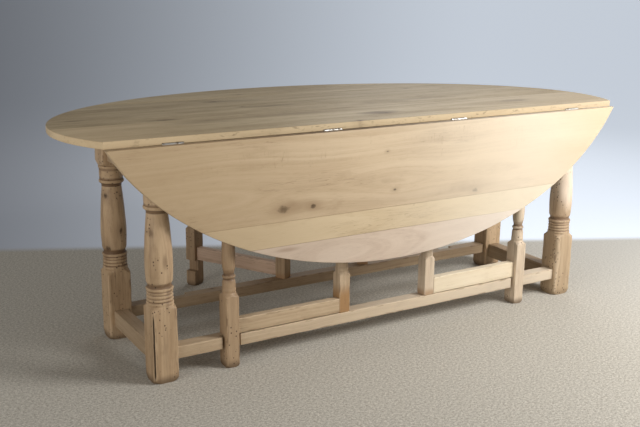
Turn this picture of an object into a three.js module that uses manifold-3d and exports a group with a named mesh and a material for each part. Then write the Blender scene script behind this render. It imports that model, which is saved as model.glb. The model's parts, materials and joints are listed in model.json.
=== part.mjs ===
// Oval gateleg table with two drop leaves, in millimetres, +Z up, floor at z = 0.
// The length runs along X. The front leaf (-Y) hangs down and the rear leaf (+Y) is up on its two open gates.
import * as THREE from "three";
import { mergeVertices } from "three/addons/utils/BufferGeometryUtils.js";
import Module from "manifold-3d";

const wasm = await Module();
wasm.setup();

// ---------- driving dimensions ----------
const fit = 0.3; // clearance at every glued or sliding joint
const top = {
  height: 760, thickness: 22,
  halfLength: 1070, halfDepth: 710.5, // half-axes of the oval
  hinge: 256.5, // hinge line, from the middle of the table
  seam: 18, // glue line of the middle board
};
const under = top.height - top.thickness; // underside of the boards
const frontSeams = [270.5, 349]; // glue lines of each leaf, from its hinge line
const rearSeams = [196, 331];
const hingeAt = [-793, -255, 255, 793]; // hinges along each hinge line
const flap = { length: 66, width: 34, thickness: 2, knuckle: 4.5, pin: 2.2, middle: 22 };

const leg = { x: 829.4, y: 204.9, size: 80 };
const apron = { face: 229, thickness: 44, bottom: 620, endInset: 16, endThickness: 30 };
const stretcher = { bottom: 64, top: 103.5, thickness: 48, endBottom: 48, endTop: 104 };
const tenon = { length: 25, thickness: 14 };

const gate = {
  x: 180, y: 206, // pivot axis, from the middle of the table
  reach: 424, // pivot axis to the middle of the gate leg
  legWidth: 44, legDepth: 56, legForward: 7.5, legTop: under - 0.6,
  postWidth: 42, postDepth: 44,
  railThickness: 27, railFace: 22, // face of the rails in front of the pivot axis
  upperRail: [558, 610],
  tenonLength: 18, tenonThickness: 10,
  pin: 9, pinLength: 24, pinHole: 9.5, pinHoleDepth: 27,
  openRear: 61, // degrees that the rear gates stand open
};
// the lapped notches where a closed gate leg crosses the apron and the stretcher
const lap = {
  legTopFrom: 616, legTopAt: 212.5, apronTo: 211, apronHalf: 29,
  legLow: [60, 106], legLowAt: 206.5, stretcherTo: 205, stretcherHalf: 32,
};

// Turned outlines, [height, radius]. A radius of full leaves the block square.
const full = 60;
const mainTurning = [
  [0, 52], [8, 57.5], [230, full], [238, 50], [245, 42.2],
  [254, 42.2], [257, 39.4], [260, 41], [266, 41], [268.5, 38.8], [271, 40.6],
  [278, 40.6], [280.5, 38.6], [283, 40.4], [290, 40.6], [292, 42.2], [300, 42.2],
  [303.5, 37], [310, 36.6], [318, 40.4], [336, 41.9], [366, 43], [398, 42.5], [444, 40], [490, 36.6], [528, 33],
  [540, 34], [545, 41.6], [552, 41.6], [555, 39.2], [590, 39.6], [594, 42], [600, 42], [608, 50], [617, full],
  [under - fit, full],
];
const gateFull = 40;
const gateTurning = [
  [232, gateFull], [239, 28], [246, 22.1], [262, 22.1], [283, 20.8], [287, 20.4], [291.5, 17.5], [296, 21], [302, 21],
  [305.5, 17], [311, 16.8], [323, 19.6], [345, 21.8], [361, 22], [388, 21.3], [440, 19], [500, 16.6],
  [512, 17.4], [516, 21.6], [523, 21.6], [526, 20.2], [541, 20.6], [548, 28], [555, gateFull],
];

// ---------- solids ----------
// A geometry as a closed manifold-3d solid.
function solid(geometry) {
  const bare = new THREE.BufferGeometry();
  const loose = geometry.index ? geometry.toNonIndexed() : geometry;
  bare.setAttribute("position", loose.getAttribute("position"));
  const merged = mergeVertices(bare, 1e-4);
  return new wasm.Manifold(new wasm.Mesh({
    numProp: 3,
    vertProperties: merged.attributes.position.array,
    triVerts: new Uint32Array(merged.index.array),
  }));
}

// A manifold-3d solid as a geometry.
function geometryOf(manifold) {
  const { vertProperties, triVerts } = manifold.getMesh();
  const geometry = new THREE.BufferGeometry();
  geometry.setAttribute("position", new THREE.BufferAttribute(new Float32Array(vertProperties), 3));
  geometry.setIndex(new THREE.BufferAttribute(new Uint32Array(triVerts), 1));
  const flat = geometry.toNonIndexed();
  flat.computeVertexNormals();
  return flat;
}

// A box between two corners, given as ranges along X, Y and Z.
function block([x0, x1], [y0, y1], [z0, z1]) {
  const geometry = new THREE.BoxGeometry(Math.abs(x1 - x0), Math.abs(y1 - y0), Math.abs(z1 - z0));
  geometry.translate((x0 + x1) / 2, (y0 + y1) / 2, (z0 + z1) / 2);
  return solid(geometry);
}

// A rod along X or Z, centred on the line through at.
function rod(radius, [from, to], axis, at, sides = 12) {
  const geometry = new THREE.CylinderGeometry(radius, radius, to - from, sides);
  geometry.translate(0, (from + to) / 2, 0);
  if (axis === "z") geometry.rotateX(Math.PI / 2);
  else geometry.rotateZ(-Math.PI / 2);
  geometry.translate(...at);
  return solid(geometry);
}

// A turned shape on the Z axis. Its outline is [height, radius] from the bottom up.
function turned(outline, sides) {
  const points = [[outline[0][0], 0], ...outline, [outline.at(-1)[0], 0]];
  const geometry = new THREE.LatheGeometry(points.map(([z, r]) => new THREE.Vector2(r, z)), sides);
  geometry.rotateX(Math.PI / 2);
  return solid(geometry);
}

// A square-cornered blank along Z, turned between its blocks.
function turnedBlank(width, depth, outline, sides) {
  const [low, high] = [outline[0][0], outline.at(-1)[0]];
  const blank = block([-width / 2, width / 2], [-depth / 2, depth / 2], [low, high]);
  return blank.intersect(turned(outline, sides));
}

const clearOf = ([a, b], by = fit) => [Math.min(a, b) - by, Math.max(a, b) + by];
const mirrored = ([a, b], side) => (side < 0 ? [-b, -a] : [a, b]);

// ---------- the scene ----------
const part = new THREE.Group();
part.name = "gateleg_table";
const table = new THREE.Group();
table.position.y = -(top.halfDepth - top.hinge - top.thickness) / 2; // the middle of the whole outline at y = 0
part.add(table);

const woods = {
  leg: [0xb98f70, 0.68], gateLeg: [0xc09a78, 0.68], rail: [0xc9a983, 0.7], newRail: [0xe2cca6, 0.62],
  board: [0xa58e73, 0.6], leaf: [0xcdb08c, 0.62], leafEdge: [0xd6bd9c, 0.62],
};

function add(group, name, shape, [color, roughness], metalness = 0) {
  const material = new THREE.MeshStandardMaterial({ color, roughness, metalness });
  const mesh = new THREE.Mesh(geometryOf(shape), material);
  mesh.name = name;
  group.add(mesh);
  return mesh;
}

// ---------- tenons of the fixed frame, in the legs' own places ----------
const halfLeg = leg.size / 2;
const longEnd = leg.x - halfLeg - fit; // where a long rail's shoulder stands
const shortEnd = leg.y - halfLeg - fit;
const apronMiddle = apron.face - apron.thickness / 2;
const stretcherMiddle = apron.face - stretcher.thickness / 2;
const endFace = leg.x + halfLeg - apron.endInset;
const endApronMiddle = endFace - apron.endThickness / 2;
const endStretcherMiddle = endFace - stretcher.thickness / 2;
const apronTenon = [apron.bottom + 20, under - 13];
const stretcherTenon = [stretcher.bottom + 6, stretcher.top - 5.5];
const endStretcherTenon = [stretcher.endBottom + 6, stretcher.endTop - 6];
const across = (middle, thickness) => [middle - thickness / 2, middle + thickness / 2];

// The tenons that enter one leg, as ranges with positive X and Y, grown by the clearance asked for.
function tenonsInto(by) {
  const alongX = clearOf([longEnd, longEnd + tenon.length], by);
  const alongY = clearOf([shortEnd, shortEnd + tenon.length], by);
  const cheek = (middle) => clearOf(across(middle, tenon.thickness), by);
  return [
    [alongX, cheek(apronMiddle), clearOf(apronTenon, by)],
    [alongX, cheek(stretcherMiddle), clearOf(stretcherTenon, by)],
    [cheek(endApronMiddle), alongY, clearOf(apronTenon, by)],
    [cheek(endStretcherMiddle), alongY, clearOf(endStretcherTenon, by)],
  ];
}

for (const [end, sideX] of [["left", -1], ["right", 1]])
  for (const [row, sideY] of [["front", -1], ["rear", 1]]) {
    let shape = turnedBlank(leg.size, leg.size, mainTurning, 16).translate([sideX * leg.x, sideY * leg.y, 0]);
    for (const [x, y, z] of tenonsInto(fit))
      shape = shape.subtract(block(mirrored(x, sideX), mirrored(y, sideY), z));
    add(table, `leg_${row}_${end}`, shape, woods.leg);
  }

// A rail with a tenon at each end. Its length is along X or Y.
function rail(along, halfLength, face, thickness, [low, high], [tenonLow, tenonHigh], side) {
  const middle = face - thickness / 2;
  const depth = mirrored(across(middle, thickness), side);
  const cheeks = mirrored(across(middle, tenon.thickness), side);
  const inside = [-halfLength - tenon.length + 1, halfLength + tenon.length - 1];
  const body = along === "x"
    ? block([-halfLength, halfLength], depth, [low, high])
    : block(depth, [-halfLength, halfLength], [low, high]);
  const tongue = along === "x"
    ? block(inside, cheeks, [tenonLow, tenonHigh])
    : block(cheeks, inside, [tenonLow, tenonHigh]);
  return body.add(tongue);
}

for (const [row, side] of [["front", -1], ["rear", 1]]) {
  const outer = apron.face + 1;
  let long = rail("x", longEnd, apron.face, apron.thickness, [apron.bottom, under - fit], apronTenon, side);
  let low = rail("x", longEnd, apron.face, stretcher.thickness,
    [stretcher.bottom, stretcher.top], stretcherTenon, side);
  for (const hand of [-1, 1]) {
    const crossing = hand * (gate.x + gate.reach);
    const pivot = [hand * gate.x, side * gate.y, 0];
    long = long
      .subtract(block([crossing - lap.apronHalf, crossing + lap.apronHalf],
        mirrored([lap.apronTo, outer], side), [apron.bottom - 1, under + 1]))
      .subtract(rod(gate.pinHole, [apron.bottom - 1, apron.bottom + gate.pinHoleDepth], "z", pivot));
    low = low
      .subtract(block([crossing - lap.stretcherHalf, crossing + lap.stretcherHalf],
        mirrored([lap.stretcherTo, outer], side), [stretcher.bottom - 1, stretcher.top + 1]))
      .subtract(rod(gate.pinHole, [stretcher.top - gate.pinHoleDepth, stretcher.top + 1], "z", pivot));
  }
  add(table, `apron_${row}`, long, woods.rail);
  add(table, `stretcher_${row}`, low, woods.rail);
}
for (const [end, side] of [["left", -1], ["right", 1]]) {
  add(table, `apron_${end}`,
    rail("y", shortEnd, endFace, apron.endThickness, [apron.bottom, under - fit], apronTenon, side), woods.rail);
  add(table, `stretcher_${end}`,
    rail("y", shortEnd, endFace, stretcher.thickness,
      [stretcher.endBottom, stretcher.endTop], endStretcherTenon, side), woods.rail);
}

// ---------- boards ----------
// The slice of the oval top between two lines along X, with its underside at z = 0.
function slice(y0, y1, steps) {
  const angle = (y) => Math.asin(THREE.MathUtils.clamp(y / top.halfDepth, -1, 1));
  const [a0, a1] = [angle(y0), angle(y1)];
  const points = [];
  for (const side of [1, -1])
    for (let i = 0; i <= steps; i++) {
      const a = side > 0 ? a0 + ((a1 - a0) * i) / steps : a1 + ((a0 - a1) * i) / steps;
      const x = side * top.halfLength * Math.cos(a);
      if (Math.abs(x) < 1e-6 && points.length && Math.abs(points.at(-1).x) < 1e-6) continue;
      points.push(new THREE.Vector2(x, top.halfDepth * Math.sin(a)));
    }
  if (points[0].distanceTo(points.at(-1)) < 1e-6) points.pop();
  const geometry = new THREE.ExtrudeGeometry(new THREE.Shape(points), { depth: top.thickness, bevelEnabled: false });
  return solid(geometry);
}

// The room a hinge takes out of the boards, for the flap on the side that y points to.
function hingeRecess(x, y) {
  const half = flap.length / 2 + fit;
  const plate = block([x - half, x + half], y > 0 ? [0, flap.width + fit] : [-flap.width - fit, 0],
    [-1, flap.thickness + fit]);
  return plate.add(rod(flap.knuckle + 0.7, [x - half, x + half], "x", [0, 0, 0]));
}

// One flap of a hinge whose pin lies on the X axis. The fixed flap holds the pin and both outer knuckles.
function hingeFlap(fixed) {
  const half = flap.length / 2;
  const mid = flap.middle / 2;
  let shape = block([-half, half], fixed ? [0, flap.width] : [-flap.width, 0], [0, flap.thickness]);
  const keepOff = (from, to) => rod(flap.knuckle + 0.5, [from, to], "x", [0, 0, 0]);
  if (fixed) {
    shape = shape.subtract(keepOff(-mid - fit, mid + fit));
    for (const ends of [[-half, -mid - fit], [mid + fit, half]])
      shape = shape.add(rod(flap.knuckle, ends, "x", [0, 0, 0]));
    return shape.add(rod(flap.pin, [-half, half], "x", [0, 0, 0]));
  }
  shape = shape.subtract(keepOff(-half - 1, -mid)).subtract(keepOff(mid, half + 1));
  return shape.add(rod(flap.knuckle, [-mid, mid], "x", [0, 0, 0]))
    .subtract(rod(flap.pin + 0.4, [-half, half], "x", [0, 0, 0]));
}

const steel = [0xb9b6ae, 0.35];
const edgeGap = 0.2; // half of the gap between two boards
const hingeLine = (shape, side) => shape.translate([0, side * top.hinge, under]);

for (const [name, from, to, side] of [
  ["top_board_front", -top.hinge + edgeGap, top.seam - fit / 2, -1],
  ["top_board_rear", top.seam + fit / 2, top.hinge - edgeGap, 1],
]) {
  let board = slice(from, to, 12).translate([0, 0, under]);
  for (const x of hingeAt) board = board.subtract(hingeLine(hingeRecess(x, -side), side));
  add(table, name, board, woods.board);
}

// A leaf in a group whose origin is the middle of its hinge line. It points to -Y and lies level.
function leaf(row, seams) {
  const group = new THREE.Group();
  const edges = [edgeGap, ...seams, top.halfDepth - top.hinge];
  const places = ["inner", "middle", "outer"];
  places.forEach((place, n) => {
    const near = edges[n] + (n ? fit / 2 : 0);
    const far = edges[n + 1] - (n < 2 ? fit / 2 : 0);
    let board = slice(-top.hinge - far, -top.hinge - near, n < 2 ? 8 : 22).translate([0, top.hinge, 0]);
    if (!n) for (const x of hingeAt) board = board.subtract(hingeRecess(x, -1));
    add(group, `leaf_${row}_${place}`, board, n < 2 ? woods.leaf : woods.leafEdge);
  });
  hingeAt.forEach((x, n) => {
    add(group, `hinge_${row}_${n + 1}_leaf_flap`, hingeFlap(false).translate([x, 0, 0]), steel, 0.9);
  });
  table.add(group);
  return group;
}

const frontLeaf = leaf("front", frontSeams);
frontLeaf.position.set(0, -top.hinge, under);
frontLeaf.rotation.x = Math.PI / 2; // hangs down
const rearLeaf = leaf("rear", rearSeams);
rearLeaf.position.set(0, top.hinge, under);
rearLeaf.rotation.z = Math.PI; // stands level behind the middle board

for (const [row, side] of [["front", -1], ["rear", 1]])
  hingeAt.forEach((x, n) => {
    const turnedRound = side > 0 ? hingeFlap(true).rotate([0, 0, 180]) : hingeFlap(true);
    add(table, `hinge_${row}_${n + 1}_fixed_flap`,
      hingeLine(turnedRound, side).translate([side > 0 ? -x : x, 0, 0]), steel, 0.9);
  });

// ---------- gates ----------
// A closed front gate, with its pivot on the Z axis and its leg towards side along X.
function swingingGate(name, side, lowerRail) {
  const group = new THREE.Group();
  const legX = side * gate.reach;
  const postX = gate.postWidth / 2;
  const foot = [[0, 31], [6, gateFull]];
  const post = { bottom: stretcher.top + 0.5, top: apron.bottom - 0.5 };
  const rails = [["upper", gate.upperRail], ["lower", lowerRail]];
  const railDepth = [-gate.railFace, gate.railThickness - gate.railFace];
  const cheeks = across((railDepth[0] + railDepth[1]) / 2, gate.tenonThickness);
  const shoulders = [postX + fit, gate.reach - gate.legWidth / 2 - fit];
  const tips = [shoulders[0] - gate.tenonLength, shoulders[1] + gate.tenonLength];

  let upright = turnedBlank(gate.postWidth, gate.postDepth,
    [[post.bottom, 28], [post.bottom + 3, gateFull], ...gateTurning, [post.top, gateFull]], 12);
  upright = upright
    .add(rod(gate.pin, [post.bottom - gate.pinLength, post.bottom + 5], "z", [0, 0, 0]))
    .add(rod(gate.pin, [post.top - 5, post.top + gate.pinLength], "z", [0, 0, 0]));
  let gateLeg = turnedBlank(gate.legWidth, gate.legDepth,
    [...foot, ...gateTurning, [gate.legTop, gateFull]], 12).translate([legX, -gate.legForward, 0]);

  // behind these planes the leg is cut back to lap over the apron and the stretcher
  const behind = (at) => [gate.y - at, gate.legDepth];
  const wide = [legX - gate.legWidth, legX + gate.legWidth];
  gateLeg = gateLeg
    .subtract(block(wide, behind(lap.legTopAt), [lap.legTopFrom, under]))
    .subtract(block(wide, behind(lap.legLowAt), lap.legLow));

  for (const [place, [low, high]] of rails) {
    const body = block(mirrored(shoulders, side), railDepth, [low, high]);
    const tongue = [low + 9, high - 8];
    const socket = block(mirrored(clearOf(tips), side), clearOf(cheeks), clearOf(tongue));
    upright = upright.subtract(socket);
    gateLeg = gateLeg.subtract(socket);
    add(group, `${name}_${place}_rail`, body.add(block(mirrored(tips, side), cheeks, tongue)),
      place === "lower" && name === "gate_front_right" ? woods.newRail : woods.rail);
  }
  add(group, `${name}_post`, upright, woods.gateLeg);
  add(group, `${name}_leg`, gateLeg, woods.gateLeg);
  table.add(group);
  return group;
}

const gates = [
  // name, side of its leg in its own group, X of its pivot, row, lower rail, degrees open
  ["gate_front_left", -1, -gate.x, -1, [106, 156], 0],
  ["gate_front_right", 1, gate.x, -1, [106, 166], 0],
  ["gate_rear_left", 1, -gate.x, 1, [106, 158], gate.openRear],
  ["gate_rear_right", -1, gate.x, 1, [106, 158], gate.openRear],
];
for (const [name, side, x, row, lowerRail, open] of gates) {
  const group = swingingGate(name, side, lowerRail);
  group.position.set(x, row * gate.y, 0);
  // opening turns the leg away from the frame
  group.rotation.z = (row > 0 ? Math.PI : 0) - side * THREE.MathUtils.degToRad(open);
}

export default part;
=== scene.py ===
import json
import math

import bmesh
import bpy
from mathutils import Matrix, Vector
from mathutils.noise import noise as soft_noise


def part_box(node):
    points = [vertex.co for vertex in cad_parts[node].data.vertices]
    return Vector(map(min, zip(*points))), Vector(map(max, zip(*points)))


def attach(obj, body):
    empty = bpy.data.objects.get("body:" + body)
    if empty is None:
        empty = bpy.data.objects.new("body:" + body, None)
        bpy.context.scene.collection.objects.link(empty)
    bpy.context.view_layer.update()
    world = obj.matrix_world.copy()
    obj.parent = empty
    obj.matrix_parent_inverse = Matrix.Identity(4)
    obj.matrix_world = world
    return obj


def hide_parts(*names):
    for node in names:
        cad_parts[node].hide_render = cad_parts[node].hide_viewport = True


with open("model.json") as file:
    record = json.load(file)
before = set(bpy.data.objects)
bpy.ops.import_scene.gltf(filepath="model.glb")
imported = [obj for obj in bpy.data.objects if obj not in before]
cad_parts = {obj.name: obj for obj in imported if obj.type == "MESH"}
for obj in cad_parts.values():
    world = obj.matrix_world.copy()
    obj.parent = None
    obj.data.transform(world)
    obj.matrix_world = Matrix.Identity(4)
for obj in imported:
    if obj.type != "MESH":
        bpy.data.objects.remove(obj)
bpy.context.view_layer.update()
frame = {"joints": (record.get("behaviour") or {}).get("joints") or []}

MM = 0.001


# ---------- places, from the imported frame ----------
def joint(name):
    """The joint of that name, as the frame gives it."""
    return next(j for j in frame["joints"] if j["name"] == name)


def span(node, axis):
    """Where a CAD node starts and ends along an axis, 0 for X to 2 for Z."""
    low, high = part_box(node)
    return low[axis], high[axis]


def node_half(node, axis):
    """Half of a CAD node's size along an axis."""
    low, high = span(node, axis)
    return (high - low) / 2


front_hinge = Vector(joint("front_leaf_hinge")["pos_m"])
rear_hinge = Vector(joint("rear_leaf_hinge")["pos_m"])
middle_y = (front_hinge.y + rear_hinge.y) / 2
hinge_reach = (rear_hinge.y - front_hinge.y) / 2
underside = front_hinge.z
board_thickness = span("top_board_front", 2)[1] - underside
half_length = span("top_board_front", 0)[1]
half_depth = span("leaf_rear_outer", 1)[1] - middle_y


# ---------- the shader kit ----------
class Value:
    """A number or vector that varies over a surface, ready for sums in Python."""

    def __init__(self, finish, socket):
        self.finish = finish
        self.socket = socket

    def __add__(self, other):
        return self.finish.maths("ADD", self, other)

    def __sub__(self, other):
        return self.finish.maths("SUBTRACT", self, other)

    def __rsub__(self, other):
        return self.finish.maths("SUBTRACT", other, self)

    def __mul__(self, other):
        return self.finish.maths("MULTIPLY", self, other)

    def __truediv__(self, other):
        return self.finish.maths("DIVIDE", self, other)

    def __pow__(self, other):
        return self.finish.maths("POWER", self, other)

    def __abs__(self):
        return self.finish.maths("ABSOLUTE", self)

    __radd__ = __add__
    __rmul__ = __mul__


class Finish:
    """One procedural finish: a material, and the one way that nodes are added to it."""

    def __init__(self, name, **surface):
        self.material = bpy.data.materials.new(name)
        self.material.use_nodes = True
        self.tree = self.material.node_tree
        self.shader = self.tree.nodes["Principled BSDF"]
        for socket, value in surface.items():
            self.shader.inputs[socket.replace("_", " ")].default_value = value

    def feed(self, socket, value):
        if isinstance(value, Value):
            self.tree.links.new(value.socket, socket)
        else:
            socket.default_value = value

    def node(self, kind, settings=None, inputs=None, output=0):
        """A node of that type with its settings, then its sockets' values or links."""
        made = self.tree.nodes.new("ShaderNode" + kind)
        for key, value in (settings or {}).items():
            setattr(made, key, value)
        for key, value in (inputs or {}).items():
            self.feed(made.inputs[key], value)
        return Value(self, made.outputs[output])

    def maths(self, operation, *values):
        return self.node("Math", {"operation": operation}, dict(enumerate(values)))

    def vector(self, x, y, z):
        return self.node("CombineXYZ", inputs={0: x, 1: y, 2: z})

    def mix(self, share, first, second):
        """first where share is 0, second where it is 1."""
        return self.node("Mix", {"data_type": "RGBA"}, {0: share, 6: first, 7: second}, output=2)

    def noise(self, place, detail=2.0, roughness=0.5):
        inputs = {"Vector": place, "Scale": 1.0, "Detail": detail, "Roughness": roughness}
        return self.node("TexNoise", inputs=inputs)

    def step(self, value, low, high, start=0.0, end=1.0):
        """A smooth change from start to end as value goes from low to high."""
        settings = {"interpolation_type": "SMOOTHSTEP"}
        return self.node("MapRange", settings, {0: value, 1: low, 2: high, 3: start, 4: end})

    def drawn(self, name):
        """A measure kept in the mesh itself, such as how hollow or worn it is."""
        return self.node("Attribute", {"attribute_name": name}, output=2)

    def place(self):
        """X, Y and Z in the piece's own axes."""
        made = self.node("TexCoord", output=3)
        split = self.tree.nodes.new("ShaderNodeSeparateXYZ")
        self.tree.links.new(made.socket, split.inputs[0])
        return [Value(self, socket) for socket in split.outputs]

    def show(self, colour, roughness, height, depth, strength):
        """Colour, roughness and relief to the shader. depth is the relief in metres."""
        self.feed(self.shader.inputs["Base Color"], colour)
        self.feed(self.shader.inputs["Roughness"], roughness)
        inputs = {"Strength": strength, "Distance": depth, "Height": height}
        self.feed(self.shader.inputs["Normal"], self.node("Bump", inputs=inputs))
        return self.material


def shade(r, g, b):
    return (r, g, b, 1.0)


# ---------- the finishes ----------
class Tones:
    """The pale, brown and dark shades of one kind of wood."""

    def __init__(self, pale, brown, dark, rubbed=None):
        self.pale, self.brown, self.dark = shade(*pale), shade(*brown), shade(*dark)
        self.rubbed = shade(*(rubbed or pale))  # bare arrises and the edges of boards


LEG = Tones((0.575, 0.42, 0.265), (0.41, 0.275, 0.158), (0.14, 0.078, 0.038))
# PAINTED_LIGHT_LEG is a lit copy of LEG: painted light, paler and less saturated for the leg on the right,
# where the light is strongest
PAINTED_LIGHT_LEG = Tones((0.66, 0.52, 0.37), (0.46, 0.325, 0.205), (0.15, 0.085, 0.045))
GATE = Tones((0.46, 0.325, 0.20), (0.34, 0.225, 0.13), (0.14, 0.08, 0.04))
# PAINTED_LIGHT_GATE is a lit copy of GATE: painted light, paler and less saturated for the gate on the right,
# where the light is strongest
PAINTED_LIGHT_GATE = Tones((0.70, 0.585, 0.45), (0.56, 0.43, 0.30), (0.20, 0.12, 0.07))
POST = Tones((0.57, 0.44, 0.30), (0.43, 0.31, 0.195), (0.16, 0.092, 0.05))
RAIL = Tones((0.58, 0.445, 0.295), (0.45, 0.325, 0.20), (0.20, 0.125, 0.065))
# SHADED_RAIL is painted shade: RAIL darkened for the rails that stand in the shadow under the table
SHADED_RAIL = Tones((0.44, 0.325, 0.21), (0.33, 0.23, 0.14), (0.15, 0.09, 0.05))
PINK_RAIL = Tones((0.70, 0.51, 0.385), (0.56, 0.39, 0.275), (0.24, 0.145, 0.095))
NEW_RAIL = Tones((0.82, 0.71, 0.54), (0.74, 0.62, 0.44), (0.50, 0.37, 0.22))
TOP = Tones((0.50, 0.40, 0.25), (0.37, 0.28, 0.162), (0.155, 0.105, 0.055), (0.64, 0.49, 0.30))
LEAF = Tones((0.64, 0.505, 0.345), (0.52, 0.39, 0.25), (0.28, 0.18, 0.10))
YELLOW = Tones((0.67, 0.54, 0.36), (0.57, 0.44, 0.275), (0.33, 0.22, 0.12))
PINK = Tones((0.68, 0.56, 0.45), (0.57, 0.445, 0.345), (0.33, 0.22, 0.155))
KNOT = shade(0.055, 0.028, 0.014)
SPLIT = shade(0.018, 0.010, 0.006)


def wood(name, seed, tones, run="x", pith=(0.02, -0.09), wander=0.03, figure=1.0, knots=(), smudges=(),
         cloud=0.4, holes=0.0, streaks=0.0, soil=0.5, roughness=0.52, board=None, painted_light_fades=(), foot=None,
         gap=0.0, scratched=None):
    """Stripped, waxed oak. run is the grain's axis, pith the heart of the log across the piece.
    holes is how many worm holes it has, streaks how dark it has weathered along the grain, and
    soil how much dirt its hollows hold.
    knots are (along, across, size), smudges (along, across, half length, half width, share).
    board is (lower line, upper line, thickness) of a plank, gap how dark the painted shadow along its hinge
    edge is, and scratched (middle, half width across, start, end along) where it is scored across the grain.
    painted_light_fades are (from, to, tone, share) along it: painted light and shade, paler or darker towards
    an end; foot (height, fade, tone, share) a tone below a height."""
    f = Finish(name, Specular_IOR_Level=0.34, Coat_Weight=0.05, Coat_Roughness=0.36)
    x, y, z = f.place()
    along, across, deep = (x, y, z) if run == "x" else (z, x, y)
    shift = seed * 3.17

    # the grain wanders slowly, and runs round the knots
    slow = f.noise(f.vector(along * 1.1 + shift, across * 2.6, deep * 2.6), 2.0)
    drift = f.noise(f.vector(along * 0.8 - shift, across * 2.1 + 5.0, deep * 2.1), 1.5)
    bent = across + (slow - 0.5) * wander
    cut = deep + (drift - 0.5) * (wander * 2.2)
    frayed = f.noise(f.vector(along * 38.0, across * 95.0, deep * 95.0 + shift), 3.0, 0.65)
    core, halo = 0.0, 0.0
    for at, side, size in knots:
        da = (along - at) * 0.62
        db = across - side
        ragged = (slow - 0.5) * (size * 0.8)
        reach = f.maths("SQRT", da * da + db * db) + ragged
        reach = reach + (frayed - 0.5) * (size * 1.5)
        near = f.maths("EXPONENT", (da * da * 0.35 + db * db) * (-1.0 / (2.6 * size) ** 2))
        bent = bent - db * near * 0.85
        core = f.maths("MAXIMUM", core, f.step(reach, size * 0.15, size * 0.80, 1.0, 0.0))
        halo = f.maths("MAXIMUM", halo, f.step(reach, size * 0.2, size * 2.8, 1.0, 0.0))
    heart = f.maths("SQRT", (bent - pith[0]) ** 2.0 + (cut - pith[1]) ** 2.0)
    rings = f.noise(f.vector(heart * 230.0, along * 1.4, shift), 3.0, 0.62)
    bands = f.noise(f.vector(heart * 52.0, along * 0.55, shift + 9.0), 2.0, 0.55)
    fibre = f.noise(f.vector(along * 26.0, across * 620.0, deep * 620.0), 2.0, 0.6)
    dashes = f.noise(f.vector(along * 34.0 + shift, across * 1150.0, deep * 1150.0), 1.0, 0.5)
    pores = f.step(dashes, 0.60, 0.70) * f.step(rings, 0.42, 0.60)
    patches = f.noise(f.vector(along * 2.3 + shift, across * 8.0, deep * 8.0), 3.0, 0.55)
    mottle = f.noise(f.vector(along * 11.0 - shift, across * 30.0, deep * 30.0), 3.0, 0.6)

    tone = 0.5 + (rings - 0.5) * (1.05 * figure) + (bands - 0.5) * (1.35 * figure) + (fibre - 0.5) * 0.5
    tone = tone + (patches - 0.5) * 0.8
    colour = f.mix(f.step(tone, 0.05, 0.95), tones.pale, tones.brown)
    colour = f.mix(f.step(patches, 0.46, 0.78) * cloud, colour, tones.brown)
    colour = f.mix(f.step(mottle, 0.54, 0.80) * (cloud * 0.55), colour, tones.dark)
    colour = f.mix(f.step(patches, 0.46, 0.28) * (cloud * 0.6), colour, tones.pale)
    colour = f.mix(pores * 0.32, colour, tones.dark)
    rays = f.noise(f.vector(along * 24.0 - shift, across * 140.0, deep * 60.0), 2.0, 0.5)
    colour = f.mix(f.step(rays, 0.58, 0.70) * f.step(patches, 0.60, 0.40) * 0.35, colour, tones.rubbed)
    if streaks:
        weathered = f.noise(f.vector(along * 3.4 + shift, across * 62.0, deep * 62.0), 3.0, 0.65)
        colour = f.mix(f.step(weathered, 0.50, 0.74) * streaks, colour, tones.dark)
    for at, side, half_run, half_width, share in smudges:
        da = (along - at) / half_run
        db = (across - side + (patches - 0.5) * (half_width * 2.0)) / half_width
        spot = f.step(f.maths("SQRT", da * da + db * db), 0.15, 1.0, 1.0, 0.0)
        colour = f.mix(spot * (0.45 + mottle) * share, colour, tones.dark)
    if knots:
        whorl = f.noise(f.vector(core * 9.0, along * 60.0, across * 60.0), 2.0)
        colour = f.mix(halo * (0.10 + frayed * 0.50), colour, tones.dark)
        colour = f.mix(core * (0.45 + whorl * 0.8), colour, KNOT)
    if foot:
        height, fade, under_tone, share = foot
        edge = z + (slow - 0.5) * 0.02
        colour = f.mix(f.step(edge, height - fade, height, share, 0.0), colour, shade(*under_tone))
    drying = f.noise(f.vector(along * 5.0 + shift, across * 105.0, deep * 105.0), 2.0, 0.6)
    crack = f.step(abs(drying - 0.5), 0.0, 0.016, 1.0, 0.0) * f.step(patches, 0.52, 0.64)
    colour = f.mix(crack * 0.6, colour, tones.dark)
    relief = rings * 0.30 + fibre * 0.38 - pores * 0.55 - core * 0.4 - crack * 0.9
    polish = roughness + (fibre - 0.5) * 0.14 + (patches - 0.5) * 0.16 + pores * 0.12

    if board:
        low, high, thickness = board
        edges = f.maths("MINIMUM", across - low, high - across)
        glue = f.step(edges, 0.0003, 0.0016, 1.0, 0.0)
        face = f.step(deep, thickness - 0.0016, thickness - 0.0003)
        sides = (1 - face) * f.step(deep, 0.0003, 0.0016)
        colour = f.mix(glue * face * 0.55, colour, tones.dark)
        colour = f.mix(sides * (0.35 + mottle * 0.4), colour, tones.rubbed)
        colour = f.mix(sides * f.step(frayed, 0.58, 0.68) * 0.5, colour, tones.dark)
        # painted shadow: a dark band along the hinge edge, where the gap between board and leaf lies in
        # shade, stopping short of the lit right end
        lip = f.step(across, high - 0.0028, high - 0.0006) * f.step(along, 0.93, 0.88)
        colour = f.mix(lip * gap * (0.55 + frayed * 0.7), colour, KNOT)
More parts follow.
